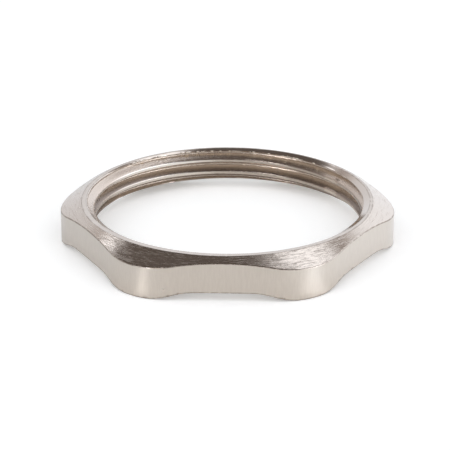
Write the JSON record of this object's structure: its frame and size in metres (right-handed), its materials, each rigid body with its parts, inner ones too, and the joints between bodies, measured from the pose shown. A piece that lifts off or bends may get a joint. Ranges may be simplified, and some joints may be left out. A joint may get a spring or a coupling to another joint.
{
  "type": "earthing lock nut",
  "caption": "Flat hexagonal plated brass lock nut with rounded corners, a bevelled top, a fine internal thread and a dished underside with sharp corner feet that bite through paint.",
  "frame": {"origin": "on the bore axis, in the plane of the six feet that the nut lies on", "axes": "+Z along the bore axis, from the feet to the bevelled top; +X through one corner; +Y square to a flat"},
  "size_m": [0.038, 0.035, 0.0049],
  "materials": {
    "nickel_plate": "nickel-plated brass, satin, with fine turning marks"
  },
  "bodies": {
    "root": {"earthing_nut": "nickel_plate"}
  },
  "joints": []
}
